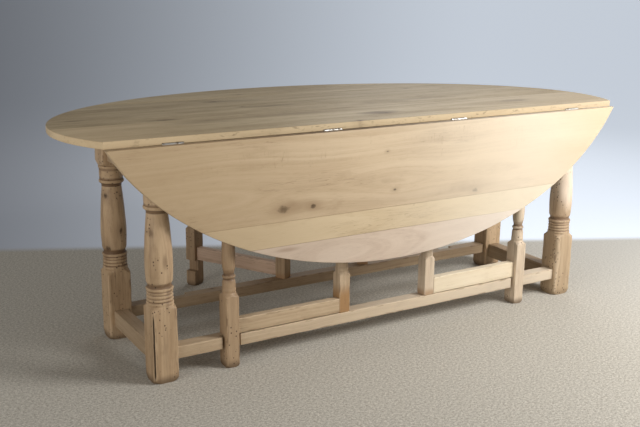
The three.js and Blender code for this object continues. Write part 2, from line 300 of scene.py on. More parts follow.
    # painted light and shade: the piece turns paler or darker towards one end, after how the light falls
    # along it
    for start, end, tint, share in painted_light_fades:
        colour = f.mix(f.step(along + (patches - 0.5) * 0.3, start, end, 0.0, share), colour, shade(*tint))
    if scratched:
        line, half_width, start, end = scratched
        score = f.noise(f.vector(along * 95.0, across * 7.0 + along * 9.0, shift), 1.0, 0.5)
        zone = f.step(abs(across - line), half_width * 0.5, half_width, 1.0, 0.0)
        zone = zone * f.step(along, start, start + 0.1) * f.step(along, end - 0.1, end, 1.0, 0.0)
        score = f.step(abs(score - 0.5), 0.0, 0.010, 1.0, 0.0) * zone * f.step(mottle, 0.47, 0.56)
        colour = f.mix(score * 0.42, colour, tones.dark)
        relief = relief - score * 0.6

    # wax and dirt lie in the hollows, hands and feet rub the arrises
    hollow = f.drawn("hollow")
    worn = f.drawn("worn")
    grime = f.step(hollow + (mottle - 0.5) * 0.5, 0.12, 0.95) * soil
    colour = f.mix(grime, colour, tones.dark)
    colour = f.mix(f.step(worn + (mottle - 0.5) * 0.9, 0.5, 1.0) * 0.40, colour, tones.pale)
    bruise = f.noise(f.vector(along * 19.0 + shift, across * 70.0, deep * 70.0), 2.0)
    colour = f.mix(worn * f.step(bruise, 0.56, 0.68) * 0.55, colour, tones.dark)
    colour = f.mix(f.drawn("split"), colour, SPLIT)
    if holes:
        settings = {"feature": "F1"}
        inputs = {"Vector": f.vector(x, y, z * 0.8), "Scale": 88.0, "Randomness": 1.0}
        spacing = f.node("TexVoronoi", settings, inputs)
        clusters = f.noise(f.vector(x * 17.0, y * 17.0, z * 9.0 + shift), 2.0)
        scarce = f.step(clusters, 0.60 - holes, 0.66 - holes)
        hole = f.step(spacing, 0.12, 0.25, 1.0, 0.0) * scarce
        colour = f.mix(hole * 0.95, colour, KNOT)
        relief = relief - hole * 2.0
    return f.show(colour, polish, relief, 0.0007, 0.55)


def steel(name, seed):
    """Plain bright steel, brushed along the knuckle, with a few dull stains."""
    f = Finish(name, Metallic=1.0)
    x, y, z = f.place()
    brushed = f.noise(f.vector(x * 60.0 + seed, y * 1800.0, z * 1800.0), 2.0, 0.6)
    stains = f.noise(f.vector(x * 90.0 + seed, y * 90.0, z * 90.0), 4.0, 0.6)
    dull = f.step(stains, 0.50, 0.68)
    colour = f.mix(dull, shade(0.50, 0.49, 0.47), shade(0.20, 0.17, 0.14))
    polish = 0.36 + dull * 0.22 + (brushed - 0.5) * 0.12
    return f.show(colour, polish, brushed + dull * 0.4, 0.0002, 0.4)


BACK_LINE, BACK_SLANT = 0.77, -0.47  # the matting ends where y is BACK_LINE + BACK_SLANT * x


def floor_finish():
    """Pale woven matting with a cool grey beyond it. Painted light and shade: the matting turns paler to the
    right, the grey is darker to the left and brighter to the right, and both glow faintly far away.
    """
    f = Finish("floor_matting", Specular_IOR_Level=0.15)
    x, y, z = f.place()
    weave = f.noise(f.vector(x * 105.0, y * 135.0, 0.0), 3.0, 0.7)
    speck = f.noise(f.vector(x * 260.0, y * 210.0, 3.0), 2.0, 0.6)
    fleck = (weave - 0.5) * 1.1 + (speck - 0.5) * 0.8 + 0.5
    matting = f.mix(f.step(fleck, 0.25, 0.75), shade(0.35, 0.325, 0.28), shade(0.62, 0.59, 0.525))
    past = y - x * BACK_SLANT - BACK_LINE
    beyond = f.step(past, -0.05, 0.05)
    # painted light: the matting paler towards the right
    matting = f.mix(f.step(x, 0.4, 2.4, 0.0, 0.65), matting, shade(0.88, 0.87, 0.83))
    # painted light and shade: the grey beyond is dark to the left and bright to the right
    fan = (x + 1.8) / f.maths("MAXIMUM", y + 2.9, 0.5)
    bright = f.maths("MAXIMUM", f.step(fan, 0.05, 0.90), f.step(x, -1.6, -4.0))
    backdrop = f.mix(bright, shade(0.26, 0.27, 0.30), shade(0.56, 0.60, 0.66))
    colour = f.mix(beyond, matting, backdrop)
    # painted light: the matting glows faintly far away
    far = f.step(f.maths("SQRT", x * x + y * y), 1.9, 4.6)
    painted_far_glow = f.mix(far, shade(0.0, 0.0, 0.0), shade(0.40, 0.39, 0.37))
    # painted light: the grey beyond glows, dim to the left and bright to the right
    glow = f.mix(bright, shade(0.05, 0.055, 0.065), shade(0.44, 0.485, 0.55))
    f.feed(f.shader.inputs["Emission Color"], f.mix(beyond, painted_far_glow, glow))
    f.shader.inputs["Emission Strength"].default_value = 1.0
    return f.show(colour, 0.9, fleck * (1 - beyond), 0.002, 0.5)


# ---------- mesh making ----------
def piece(name, points, faces, finish, place, body, node, smooth=32, measures=None, cutters=()):
    """A finished mesh piece, in its place, that rides on a body and stands for a CAD node."""
    mesh = bpy.data.meshes.new(name)
    mesh.from_pydata([tuple(p) for p in points], [], faces)
    for key, values in (measures or {}).items():
        mesh.attributes.new(key, "FLOAT", "POINT").data.foreach_set("value", values)
    shape = bmesh.new()
    shape.from_mesh(mesh)
    bmesh.ops.remove_doubles(shape, verts=shape.verts, dist=0.00002)
    bmesh.ops.dissolve_degenerate(shape, edges=shape.edges, dist=0.00001)
    bmesh.ops.recalc_face_normals(shape, faces=shape.faces)
    shape.to_mesh(mesh)
    shape.free()
    made = bpy.data.objects.new(name, mesh)
    bpy.context.scene.collection.objects.link(made)
    if cutters:
        cut_away(made, cutters)
    made.data.shade_smooth()
    made.data.set_sharp_from_angle(angle=math.radians(smooth))
    made.data.materials.clear()
    made.data.materials.append(finish)
    made.matrix_world = place
    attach(made, body)
    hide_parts(node)
    return made


def cut_away(made, cutters):
    """Takes the cutters, each (points, faces), out of a piece."""
    for points, faces in cutters:
        mesh = bpy.data.meshes.new("cutter")
        mesh.from_pydata([tuple(p) for p in points], [], faces)
        tool = bpy.data.objects.new("cutter", mesh)
        bpy.context.scene.collection.objects.link(tool)
        away = made.modifiers.new("cut", "BOOLEAN")
        away.object = tool
        away.solver = "EXACT"
        bpy.context.view_layer.update()
        left = bpy.data.meshes.new_from_object(made.evaluated_get(bpy.context.evaluated_depsgraph_get()))
        made.modifiers.clear()
        made.data = left
        bpy.data.objects.remove(tool)


def skin(rings):
    """Points and faces of a closed skin over equal rings, with flat ends."""
    count = len(rings[0])
    points = [p for ring in rings for p in ring]
    faces = []
    for r in range(len(rings) - 1):
        a, b = r * count, (r + 1) * count
        faces += [(a + i, a + (i + 1) % count, b + (i + 1) % count, b + i) for i in range(count)]
    faces.append(tuple(reversed(range(count))))
    faces.append(tuple(range((len(rings) - 1) * count, len(rings) * count)))
    return points, faces


def join_skins(*skins):
    """Several closed skins as one list of points and faces."""
    points, faces = [], []
    for more_points, more_faces in skins:
        start = len(points)
        points += more_points
        faces += [tuple(start + i for i in face) for face in more_faces]
    return points, faces


def box_skin(x, y, z):
    """A plain block between two values of each of X, Y and Z."""
    outline = [(x[0], y[0]), (x[1], y[0]), (x[1], y[1]), (x[0], y[1])]
    return skin([[(u, v, height) for u, v in outline] for height in z])


def rod_skin(radius, ends, axis="z", centre=(0.0, 0.0, 0.0), sides=24, edge=0.0):
    """A round rod along X or Z, with its two end edges eased by edge."""
    low, high = ends
    steps = [(low, radius - edge), (low + edge, radius), (high - edge, radius), (high, radius - edge)]
    if not edge:
        steps = [(low, radius), (high, radius)]
    angles = [2 * math.pi * i / sides for i in range(sides)]
    rings = []
    for at, r in steps:
        rings.append([along_axis(axis, at, r * math.cos(a), r * math.sin(a), centre) for a in angles])
    return skin(rings)


def along_axis(axis, at, u, v, centre=(0.0, 0.0, 0.0)):
    """A point at a distance along an axis, and u and v across it."""
    x, y, z = (at, u, v) if axis == "x" else (u, v, at)
    return (x + centre[0], y + centre[1], z + centre[2])


CORNERS = [(1, 1), (-1, 1), (-1, -1), (1, -1)]


def square_section(half_u, half_v, easing, side_steps=8, arc_steps=4):
    """A squared section with eased arrises, as (u, v, which corner or None), turning from +u to +v."""
    section = []
    for n, (su, sv) in enumerate(CORNERS):
        radius = easing[n]
        centre_u, centre_v = su * (half_u - radius), sv * (half_v - radius)
        for k in range(arc_steps + 1):
            angle = math.radians(90 * n + 90 * k / arc_steps)
            section.append((centre_u + radius * math.cos(angle), centre_v + radius * math.sin(angle), (n, k)))
        next_u, next_v = CORNERS[(n + 1) % 4]
        reach = easing[(n + 1) % 4]
        if n % 2 == 0:
            start = (centre_u, sv * half_v)
            end = (next_u * (half_u - reach), next_v * half_v)
        else:
            start = (su * half_u, centre_v)
            end = (next_u * half_u, next_v * (half_v - reach))
        for k in range(1, side_steps):
            share = k / side_steps
            u = start[0] + (end[0] - start[0]) * share
            v = start[1] + (end[1] - start[1]) * share
            section.append((u, v, None))
    return section


def wavy(at, seed, pitch):
    """A slow wave between about -1 and 1 along a piece."""
    return soft_noise(Vector((at / pitch, seed * 1.7, 0.3))) * 1.8


def eased(seed, at, arris):
    """How far each of four arrises is rubbed down at a place along a piece."""
    return [max(arris * 0.45, arris * (1 + 0.45 * wavy(at, seed + 5 * n, 0.035))) for n in range(4)]


def blank(axis, stations, half_u, half_v, arris, seed, outline=None, clip=None, ripple=0.00025, ease=None,
          open_split=None):
    """A squared length of wood along an axis, turned to an outline's radius where that is less.
    Returns points, faces and the measures that its finish reads."""
    rings, hollows, worns, splits = [], [], [], []
    for at in stations:
        easing = ease(at) if ease else eased(seed, at, arris)
        radius = outline(at)[0] if outline else 1.0
        depth = outline(at)[1] if outline else 0.0
        ring = []
        for u, v, corner in square_section(half_u, half_v, easing):
            distance = math.hypot(u, v)
            turned = distance > radius
            if turned:
                u, v = u * radius / distance, v * radius / distance
            split = 0.0
            if open_split and corner and not turned:
                inward, split = open_split(at, *corner)
                u, v = u * (1 - inward), v * (1 - inward)
            unevenness = 1 + soft_noise(Vector((u * 30 + seed, v * 30, at * 22)))
            swell = 1 - ripple / max(half_u, half_v) * unevenness
            u, v = u * swell, v * swell
            if clip:
                u, v = clip(at, u, v)
            ring.append(along_axis(axis, at, u, v))
            hollows.append(depth if turned else 0.0)
            worns.append(1.0 if corner and not turned else 0.0)
            splits.append(split)
        rings.append(ring)
    points, faces = skin(rings)
    return points, faces, {"hollow": hollows, "worn": worns, "split": splits}


NOTCH_EDGE, LAP_EDGE = 0.00005, 0.00006  # from a cut's side to the stations that make it sharp


def lengthwise(low, high, pitch, edge=0.0012, cuts=()):
    """Places along a piece, close together at its ends and at the sides of its notches."""
    count = max(2, round((high - low) / pitch))
    places = {low, low + edge * 0.4, low + edge, high - edge, high - edge * 0.4, high}
    places |= {low + (high - low) * i / count for i in range(1, count)}
    for at in cuts:
        places |= {at - NOTCH_EDGE, at + NOTCH_EDGE}
    return sorted(places)


# ---------- turned outlines ----------
def bead(low, high, root, proud, steps=7):
    """A rounded bead between two heights."""
    return [
        ((low + (high - low) * k / steps), root + (proud - root) * math.sin(math.pi * k / steps) ** 0.6)
        for k in range(steps + 1)
    ]


def swelling(points, steps=9):
    """A smooth curve through points, for vase and bulb shapes."""
    curve = []
    for n in range(len(points) - 1):
        before, start = points[max(0, n - 1)], points[n]
        end, after = points[n + 1], points[min(len(points) - 1, n + 2)]
        for k in range(steps):
            t = k / steps
            height = start[0] + (end[0] - start[0]) * t
            lean_in = (end[1] - before[1]) / (end[0] - before[0]) * (end[0] - start[0])
            lean_out = (after[1] - start[1]) / (after[0] - start[0]) * (end[0] - start[0])
            radius = (
                (2 * t ** 3 - 3 * t ** 2 + 1) * start[1] + (t ** 3 - 2 * t ** 2 + t) * lean_in
                + (3 * t ** 2 - 2 * t ** 3) * end[1] + (t ** 3 - t ** 2) * lean_out
            )
            curve.append((height, radius))
    return curve + [points[-1]]


def in_metres(points):
    return [(height * MM, radius * MM) for height, radius in points]


NEIGHBOURS = [side * step * MM for step in (1.8, 3.5, 6, 9) for side in (-1, 1)]
FULL_HOLLOW = 0.0045  # how far below its neighbours a place holds all the dirt it can


class Turning:
    """A turned outline, and how deep each part of it lies below its neighbours."""

    def __init__(self, points, turned):
        self.points = points
        self.turned = turned  # the largest radius that counts as turned, and not as a block

    def radius(self, at):
        for (z0, r0), (z1, r1) in zip(self.points, self.points[1:]):
            if z0 <= at <= z1:
                return r0 if z1 - z0 < 1e-9 else r0 + (r1 - r0) * (at - z0) / (z1 - z0)
        return self.points[-1][1] if at > self.points[-1][0] else self.points[0][1]

    def __call__(self, at):
        radius = self.radius(at)
        around = max(min(self.turned, self.radius(at + step)) for step in NEIGHBOURS)
        return radius, min(1.0, max(0.0, (around - radius) / FULL_HOLLOW))

    def stations(self, pitch, fine):
        """Heights for the rings: every outline point, and more between distant ones."""
        places = []
        for (z0, r0), (z1, r1) in zip(self.points, self.points[1:]):
            gap = pitch if min(r0, r1) >= FULL * MM else fine
            count = max(1, math.ceil((z1 - z0) / gap))
            places += [z0 + (z1 - z0) * i / count for i in range(count)]
        places.append(self.points[-1][0])
        return sorted({round(at, 7) for at in places})


FULL = 40  # a radius, in millimetres, that leaves a gate's block square
LEG_TURNING = (
    [(0, 45), (1.5, 47.5), (4, 50), (8, 52.3), (14, 54.3), (22, 56), (32, 60), (228, 60), (234, 54),
     (238, 48.5), (242, 44), (245.5, 42)]
    + bead(246.5, 255.5, 40.6, 42.4)
    + [(257.5, 38.9)]
    + bead(259, 267, 39.0, 41.2)
    + [(268.5, 38.2)]
    + bead(270, 279, 38.8, 41.0)
    + [(280.5, 38.0)]
    + bead(282, 290, 38.8, 40.8)
    + bead(291.5, 301, 39.6, 42.6)
    + swelling([(303.5, 37.0), (306, 36.3), (311, 36.8), (319, 40.3), (336, 41.9), (366, 43.0), (400, 42.5),
                (444, 40.0), (490, 36.6), (520, 33.7), (531, 33.0), (539, 33.8)])
    + bead(541.5, 554, 38.0, 41.8)
    + swelling([(556, 39.0), (560, 38.9), (575, 39.4), (589, 39.3)], 4)
    + bead(591, 601, 39.4, 42.2)
    + [(603, 44), (608, 50), (613, 56), (617, 60)]
)
GATE_TURNING = (
    [(232, FULL), (235, 33), (239, 27.5), (243, 23.6), (246, 22.2)]
    + bead(247, 262, 21.2, 22.2)
    + swelling([(263, 21.2), (271, 21.5), (283, 20.6), (288, 19.4)], 3)
    + [(290, 17.4), (291.5, 17.0)]
    + bead(293, 303.5, 17.8, 21.4)
    + swelling([(305.5, 16.8), (309, 16.6), (316, 17.8), (326, 20.2), (343, 21.8), (361, 22.2), (388, 21.4),
                (440, 19.0), (485, 16.9), (501, 16.5), (510, 17.2)])
    + bead(512, 524, 18.6, 22.0)
    + swelling([(526, 19.8), (533, 20.1), (541, 20.8)], 3)
    + [(544, 23.5), (548, 28), (552, 34), (555, FULL)]
)

LEG_TURNED, GATE_TURNED = 0.0425, 0.0222  # the largest turned radius of a leg and of a gate
leg_turning = Turning(in_metres(LEG_TURNING) + [(span("leg_front_left", 2)[1], 0.060)], LEG_TURNED)


def at_place(x, y, z=0.0, turn=0.0):
    return Matrix.Translation((x, y, z)) @ Matrix.Rotation(turn, 4, "Z")


# ---------- the fixed legs ----------
LEG_ARRIS = 0.0042
FRONT_ARRIS = 2  # which of CORNERS points to the front left
BLOCK_TOP = 0.232
SPLIT_LOW, SPLIT_HIGH = 0.012, 0.226
CHIP_LOW = 0.07


def split_arris(at, corner, step):
    """The long open shake in the front arris of the left leg: inward share, and how dark."""
    if corner != FRONT_ARRIS or not SPLIT_LOW < at < SPLIT_HIGH:
        return 0.0, 0.0
    shape = [0.0, 0.35, 1.0, 0.5, 0.0][step]
    fade = min(1.0, (at - SPLIT_LOW) / 0.02, (SPLIT_HIGH - at) / 0.03)
    gape = 0.55 + 0.45 * wavy(at, 3.0, 0.05)
    return 0.17 * shape * fade * max(0.25, gape), min(1.0, shape * fade * 1.6)


def chipped(at):
    """The front arris of the right leg, knocked flat in a wavy facet above its foot."""
    easing = eased(41, at, LEG_ARRIS)
    if CHIP_LOW < at < BLOCK_TOP:
        rise = min(1.0, (at - CHIP_LOW) / 0.05)
        easing[FRONT_ARRIS] = LEG_ARRIS + rise * 0.012 * (1 + 0.5 * wavy(at, 8.0, 0.022))
    return easing


def split_ease(at):
    """The left leg's arrises, with the split one of even width."""
    easing = eased(23, at, LEG_ARRIS)
    if at < BLOCK_TOP:
        easing[FRONT_ARRIS] = 0.0050
    return easing


# DARK_FOOT: each leg darker in its last few centimetres, towards the floor
DARK_FOOT = (0.030, 0.028, (0.10, 0.062, 0.034), 0.75)
LEGS = [
    # leg, seed, its own marks
    ("leg_front_left", 1, dict(
        holes=0.04, soil=0.85,
        smudges=[(0.385, 0.004, 0.035, 0.012, 0.55), (0.475, -0.030, 0.02, 0.008, 0.6)])),
    ("leg_front_right", 2, dict(
        holes=0.12, soil=0.75, smudges=[(0.40, -0.02, 0.05, 0.02, 0.30)],
        # painted light and shade: the leg paler above, darker towards its lower part
        painted_light_fades=[(0.36, 0.46, (0.88, 0.75, 0.61), 0.70), (0.33, 0.20, (0.42, 0.305, 0.185), 0.6)])),
    ("leg_rear_left", 3, dict(
        holes=0.13, soil=0.95,
        knots=[(0.50, -0.028, 0.010), (0.38, 0.012, 0.010), (0.32, -0.03, 0.012)])),
    ("leg_rear_right", 4, dict(holes=0.08, soil=0.6)),
]
half_leg = node_half("leg_front_left", 0)
for name, seed, looks in LEGS:
    low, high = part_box(name)
    centre = (low + high) / 2
    ease = {"leg_front_left": split_ease, "leg_front_right": chipped}.get(name)
    points, faces, measures = blank(
        "z", leg_turning.stations(0.007, 0.0032), half_leg, half_leg, LEG_ARRIS, seed * 11, leg_turning,
        ripple=0.0004, ease=ease, open_split=split_arris if name == "leg_front_left" else None)
    # painted light: the front right leg takes the lit copy of the leg tones
    tones = PAINTED_LIGHT_LEG if name == "leg_front_right" else LEG
    finish = wood(f"{name}_oak", seed, tones, "z", pith=(0.05, 0.03 + 0.01 * seed), wander=0.045, figure=0.9,
                  cloud=0.6, roughness=0.56, streaks=0.42, foot=DARK_FOOT, **looks)
    piece(f"{name}_turned", points, faces, finish, at_place(centre.x, centre.y), "frame", name,
          measures=measures)

# ---------- rails ----------
BURIED = 0.002  # how far inside its rail a tenon starts


def bar(name, node, body, finish, place, ends, half_u, half_v, seed, tongue, arris=0.0022, clip=None,
        cuts=(), cutters=()):
    """A squared rail along X in its own axes. tongue is its tenons' two tips, thickness and width."""
    stations = lengthwise(*ends, 0.02, cuts=cuts)
    points, faces, measures = blank("x", stations, half_u, half_v, arris, seed, clip=clip)
    start = len(points)
    tips, thickness, width = tongue
    stubs = [box_skin(sorted((tip, end - math.copysign(BURIED, tip - end))), thickness, width)
             for tip, end in zip(tips, ends)]
    points, faces = join_skins((points, faces), *stubs)
    for values in measures.values():
        values += [0.0] * (len(points) - start)
    return piece(name, points, faces, finish, place, body, node, measures=measures, cutters=cutters)


def rail_sizes(node, axis):
    """Middle and half sizes of a CAD rail that runs along X or Y, the tenons left out of its length."""
    low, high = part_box(node)
    middle = (low + high) / 2
    half = (high - low) / 2
    return middle, half[axis], half[1 - axis], half.z


TENON, TENON_HALF = 0.024, 0.007  # a rail tenon's length, and half its thickness
HOLE_RADIUS, HOLE_DEPTH, HOLE_RISE = 0.0095, 0.027, 0.002  # for the gates' pins; the rise is of their cutter
crossing = abs(sum(span("gate_front_left_leg", 0)) / 2)
pivot_x = abs(joint("gate_front_left_pivot")["pos_m"][0])
LONG_RAILS = [
    # kind, half width of each notch, its plane from the rail's middle, pivot holes at the top or bottom
    ("apron", 0.029, -0.004, -1),
    ("stretcher", 0.032, 0.0, 1),
]
for row, turn in (("front", 0.0), ("rear", math.pi)):
    for kind, notch, plane, hole_side in LONG_RAILS:
        node = f"{kind}_{row}"
        middle, reach, half_u, half_v = rail_sizes(node, 0)
        shoulder = reach - TENON

        def notched(at, u, v, notch=notch, plane=plane):
            return (max(u, plane) if abs(abs(at) - crossing) < notch else u), v

        face = hole_side * half_v
        holes = [
            rod_skin(HOLE_RADIUS, sorted((face - hole_side * HOLE_DEPTH, face + hole_side * HOLE_RISE)), "z",
                     (side * pivot_x, 0.001 if kind == "apron" else -0.001, 0.0), 28)
            for side in (-1, 1)
        ]
        cuts = [side * crossing + edge * notch for side in (-1, 1) for edge in (-1, 1)]
        tongue = ((-reach, reach), (-TENON_HALF, TENON_HALF), (-half_v + 0.008, half_v - 0.013))
        seed = 60 + 7 * turn + (3 if kind == "apron" else 0)
        tones, painted_light_fades = SHADED_RAIL, ()
        if row == "front":
            # painted light: the front rails paler towards the right
            tones, painted_light_fades = RAIL, [(-1.0, 0.9, (0.78, 0.69, 0.56), 0.6)]
        finish = wood(f"{node}_oak", seed, tones, wander=0.02, pith=(0.03, 0.05), figure=1.1, cloud=0.55,
                      soil=0.4, knots=[(-0.34, 0.0, 0.009), (0.47, -0.01, 0.008)], painted_light_fades=painted_light_fades)
        bar(f"{node}_rail", node, "frame", finish, at_place(*middle, turn),
            (-shoulder, shoulder), half_u, half_v, seed, tongue, clip=notched, cuts=cuts, cutters=holes)

for end, turn in (("left", -math.pi / 2), ("right", math.pi / 2)):
    for kind in ("apron", "stretcher"):
        node = f"{kind}_{end}"
        middle, reach, half_u, half_v = rail_sizes(node, 1)
        shoulder = reach - TENON
        tongue = ((-reach, reach), (-TENON_HALF, TENON_HALF), (-half_v + 0.008, half_v - 0.013))
        seed = 80 + (5 if kind == "apron" else 0) + (2 if end == "left" else 0)
        finish = wood(f"{node}_oak", seed, SHADED_RAIL, wander=0.02, pith=(0.04, 0.03), cloud=0.5, soil=0.4)
        bar(f"{node}_rail", node, "frame", finish, at_place(*middle, turn),
            (-shoulder, shoulder), half_u, half_v, seed, tongue)

# ---------- boards ----------


def board_outline(low, high, pitch=0.010):
    """The slice of the oval between two lines along X, with what each side is, turning from +X to +Y."""
    a0 = math.asin(max(-1.0, low / half_depth))
    a1 = math.asin(min(1.0, high / half_depth))
    steps = max(6, math.ceil((a1 - a0) * half_length / pitch)) if high - low < 0.3 else 60
    heights = [a0 + (a1 - a0) * i / steps for i in range(steps + 1)]
    right = [(half_length * math.cos(a), half_depth * math.sin(a)) for a in heights]
    left = [(-x, y) for x, y in reversed(right)]
    pointed = right[0][0] < 0.0005  # the slice reaches the oval's own edge
    if pointed:
        left.pop()
    points = right + left
    kinds = ["oval"] * (len(right) - 1) + ["upper"] + ["oval"] * (len(left) - 1)
    kinds.append("oval" if pointed else "lower")
    return points, kinds


def drawn_in(points, setbacks):
    """The outline with each side moved inwards by its own setback."""
    lines = []
    for n, (x0, y0) in enumerate(points):
        x1, y1 = points[(n + 1) % len(points)]
        length = math.hypot(x1 - x0, y1 - y0)
        normal = (-(y1 - y0) / length, (x1 - x0) / length)
        lines.append((normal, normal[0] * x0 + normal[1] * y0 + setbacks[n]))
    moved = []
    for n, (x, y) in enumerate(points):
        (n0, d0), (n1, d1) = lines[n - 1], lines[n]
        cross = n0[0] * n1[1] - n0[1] * n1[0]
        if abs(cross) < 0.02:
            moved.append((x + n1[0] * setbacks[n], y + n1[1] * setbacks[n]))
        else:
            moved.append(((d0 * n1[1] - d1 * n0[1]) / cross, (n0[0] * d1 - n1[0] * d0) / cross))
    return moved


def plank(name, node, body, finish, place, low, high, easings, shift, cutters=()):
    """One board of the top. low and high are its lines from the middle of the oval, and shift moves it in Y.
    easings says how far each kind of arris is rounded."""
    points, kinds = board_outline(low, high)
    radii = [easings[kind] for kind in kinds]
    corners = [min(radii[n - 1], radii[n]) for n in range(len(points))]
    rings = []
    for face in (-1, 1):
        angles = [90, 60, 30, 0] if face < 0 else [0, 30, 60, 90]
        for angle in angles:
            back = 1 - math.cos(math.radians(angle))
            drop = 1 - math.sin(math.radians(angle))
            outline = drawn_in(points, [radius * back for radius in radii])
            ring = []
            for (x, y), radius in zip(outline, corners):
                height = radius * drop if face < 0 else board_thickness - radius * drop
                ring.append((x, y + shift, height))
            rings.append(ring)
    skin_points, faces = skin(rings)
    return piece(name, skin_points, faces, finish, place, body, node, smooth=24, cutters=cutters)


FLAP = dict(length=0.066, width=0.034, thickness=0.002, knuckle=0.0045, pin=0.0022, middle=0.022)
HINGES = [-0.793, -0.255, 0.255, 0.793]
HINGE_ROOM = 0.0003


def hinge_recesses(side):
    """What the hinges take out of a board on the side that side points to, its hinge line on X."""
    half = FLAP["length"] / 2 + HINGE_ROOM
    reach = FLAP["width"] + HINGE_ROOM
    width = (0.0, reach) if side > 0 else (-reach, 0.0)
    tools = []
    for x in HINGES:
        tools.append(box_skin((x - half, x + half), width, (-0.001, FLAP["thickness"] + HINGE_ROOM)))
        tools.append(rod_skin(FLAP["knuckle"] + 0.0007, (x - half, x + half), "x", sides=32))
    return tools


def moved(tools, shift):
    """The same cutters, moved in Y."""
    return [([(x, y + shift, z) for x, y, z in points], faces) for points, faces in tools]


TOP_EASING = {"oval": 0.0030, "upper": 0.0003, "lower": 0.0003}
seam_y = span("top_board_front", 1)[1] - middle_y
flush = at_place(0.0, middle_y, underside)
low_edge = span("top_board_front", 1)[0] - middle_y
finish = wood("top_board_front_oak", 11, TOP, pith=(-0.10, -0.10), wander=0.05, figure=1.25, cloud=0.7,
              roughness=0.54, board=(low_edge, seam_y, board_thickness),
              knots=[(-0.15, -0.251, 0.010), (0.69, -0.095, 0.007), (0.03, -0.145, 0.006)],
              smudges=[(0.01, -0.125, 0.12, 0.04, 0.8), (0.66, -0.09, 0.11, 0.032, 0.75),
                       (-0.60, -0.05, 0.22, 0.06, 0.35), (-0.30, -0.02, 0.3, 0.04, 0.35)],
              # painted light and shade: the board paler and greyer towards the right end, lighter and warmer
              # towards the left end
              painted_light_fades=[(0.2, 1.1, (0.53, 0.44, 0.32), 0.5), (-0.55, -1.0, (0.68, 0.52, 0.32), 0.5)])
plank("top_board_front_plank", "top_board_front", "frame", finish, flush, low_edge, seam_y,
      dict(TOP_EASING, lower=0.0012), 0.0, moved(hinge_recesses(1), -hinge_reach))
rear_low, rear_high = (value - middle_y for value in span("top_board_rear", 1))
finish = wood("top_board_rear_oak", 12, TOP, pith=(0.16, -0.12), wander=0.05, figure=1.2, cloud=0.7,
              roughness=0.54, board=(rear_low, rear_high, board_thickness),
              knots=[(-0.70, 0.045, 0.008), (-0.34, 0.215, 0.007)],
              smudges=[(-0.70, 0.045, 0.10, 0.022, 0.7), (-0.96, 0.15, 0.06, 0.02, 0.7),
                       (-0.25, 0.19, 0.2, 0.03, 0.5), (0.35, 0.12, 0.3, 0.04, 0.35)])
plank("top_board_rear_plank", "top_board_rear", "frame", finish, flush, rear_low, rear_high,
      dict(TOP_EASING, upper=0.0012), 0.0, moved(hinge_recesses(-1), hinge_reach))

leaf_places = {
    "front": Matrix.Translation(front_hinge) @ Matrix.Rotation(math.pi / 2, 4, "X"),
    "rear": Matrix.Translation(rear_hinge) @ Matrix.Rotation(math.pi, 4, "Z"),
}


def leaf_lines(row, node):
    """The two lines of a leaf's board, in its own axes, with the leaf level and the hinge line at Y = 0."""
    if row == "front":
        low, high = span(node, 2)
        return low - underside, high - underside
    low, high = span(node, 1)
    return rear_hinge.y - high, rear_hinge.y - low


# the painted_light_fades in the looks are painted light and shade: the front leaves darker to the left and
# paler to the right
LEAF_BOARDS = [
    # board, slot, tones, seed, heart of the log, easings, looks
    ("inner", "leaf_wood", LEAF, 21, (-0.19, -0.085), {"upper": 0.0012, "lower": 0.0003}, {
        "front": dict(knots=[(-0.445, -0.231, 0.017), (-0.338, -0.232, 0.009), (0.325, -0.255, 0.012),
                             (-0.056, -0.082, 0.004), (-0.022, -0.214, 0.007)],
                      smudges=[(-0.40, -0.232, 0.16, 0.035, 0.45), (0.30, -0.235, 0.2, 0.03, 0.35),
                               (0.0, -0.25, 0.8, 0.035, 0.22), (-0.56, -0.09, 0.1, 0.015, 0.2)],
                      painted_light_fades=[(-0.15, -0.85, (0.45, 0.32, 0.18), 0.55), (-0.25, 0.6, (0.77, 0.69, 0.57), 0.55),
                             (0.55, 1.05, (0.62, 0.475, 0.30), 0.7)],
                      gap=0.9, scratched=(-0.065, 0.06, -0.75, 0.62)),
        "rear": dict(knots=[(0.38, -0.12, 0.014), (-0.52, -0.16, 0.011)],
                     smudges=[(0.3, -0.12, 0.2, 0.04, 0.4)])}),
    ("middle", "leaf_wood", YELLOW, 22, (-0.30, -0.12), {"upper": 0.0003, "lower": 0.0003}, {
        "front": dict(painted_light_fades=[(-0.1, -0.7, (0.46, 0.33, 0.19), 0.5), (-0.15, 0.6, (0.80, 0.72, 0.585), 0.7)]),
        "rear": dict(knots=[(0.2, -0.27, 0.010)])}),
    ("outer", "leaf_edge_wood", PINK, 23, (-0.42, -0.10), {"upper": 0.0003, "lower": 0.0003}, {
        "front": dict(painted_light_fades=[(-0.1, -0.6, (0.46, 0.35, 0.26), 0.3), (-0.1, 0.5, (0.79, 0.71, 0.62), 0.7)],
                      smudges=[(-0.43, -0.365, 0.06, 0.012, 0.7)]),
        "rear": {}}),
]
for row in ("front", "rear"):
    for board, slot, tones, seed, heart, easings, looks in LEAF_BOARDS:
        node = f"leaf_{row}_{board}"
        low, high = leaf_lines(row, node)
        figure, cloud = 0.85, 0.50
        if row == "rear":
            tones, seed, figure, cloud = TOP, seed + 10, 1.15, 0.65
        finish = wood(f"{node}_oak", seed, tones, pith=heart, wander=0.09, figure=figure, cloud=cloud,
                      roughness=0.53, board=(low, high, board_thickness), **looks[row])
        tools = hinge_recesses(-1) if board == "inner" else ()
        plank(f"{node}_plank", node, f"{row}_leaf", finish, leaf_places[row], low - hinge_reach,
              high - hinge_reach, dict(easings, oval=0.0030), hinge_reach, tools)


